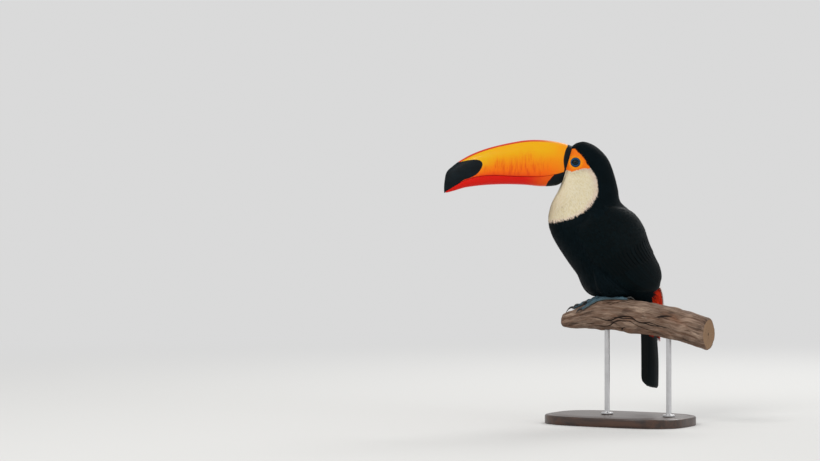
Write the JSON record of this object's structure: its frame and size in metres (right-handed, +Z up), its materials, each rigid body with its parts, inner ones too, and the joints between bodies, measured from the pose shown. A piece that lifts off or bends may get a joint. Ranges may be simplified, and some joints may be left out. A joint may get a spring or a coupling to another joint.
{
  "type": "toco toucan on a display perch",
  "caption": "Life-size still model of a toco toucan, upright on a short cut branch that two rods hold over a flat display base.",
  "frame": {"origin": "centre of the display base's underside", "axes": "+Z up; the bill points along -X; the bird's left side faces -Y, with the trunk turned 22 degrees from -X towards -Y"},
  "size_m": [0.4142, 0.1976, 0.4392],
  "materials": {
    "black_plumage": "matt black feathers with a faint blue sheen",
    "wing_plumage": "satin black feathers",
    "tail_plumage": "satin black feathers",
    "white_coverts": "soft white feathers",
    "red_coverts": "soft red feathers",
    "upper_bill": "smooth horn, yellow-orange with a black tip spot",
    "lower_bill": "smooth horn, orange to red with a black base patch",
    "eye": "wet gloss, dark",
    "leg_skin": "scaled blue-grey skin",
    "claw_horn": "smooth dark horn",
    "branch_wood": "weathered bare wood, rough",
    "stand_base_wood": "dark stained wood, satin",
    "rod_steel": "brushed"
  },
  "bodies": {
    "root": {"head": "black_plumage", "neck": "black_plumage", "trunk": "black_plumage", "thigh_l": "black_plumage", "thigh_r": "black_plumage", "wing_l": "wing_plumage", "wing_r": "wing_plumage", "tail": "tail_plumage", "coverts_upper": "white_coverts", "coverts_under": "red_coverts", "bill_upper": "upper_bill", "bill_lower": "lower_bill", "eye_l": "eye", "eye_r": "eye", "shank_l": "leg_skin", "shank_r": "leg_skin", "perch": "branch_wood", "stand_base": "stand_base_wood", "stand_rod_a": "rod_steel", "stand_rod_b": "rod_steel", "toe1_l": "leg_skin", "claw1_l": "claw_horn", "toe2_l": "leg_skin", "claw2_l": "claw_horn", "toe3_l": "leg_skin", "claw3_l": "claw_horn", "toe4_l": "leg_skin", "claw4_l": "claw_horn", "toe1_r": "leg_skin", "claw1_r": "claw_horn", "toe2_r": "leg_skin", "claw2_r": "claw_horn", "toe3_r": "leg_skin", "claw3_r": "claw_horn", "toe4_r": "leg_skin", "claw4_r": "claw_horn"}
  },
  "joints": []
}
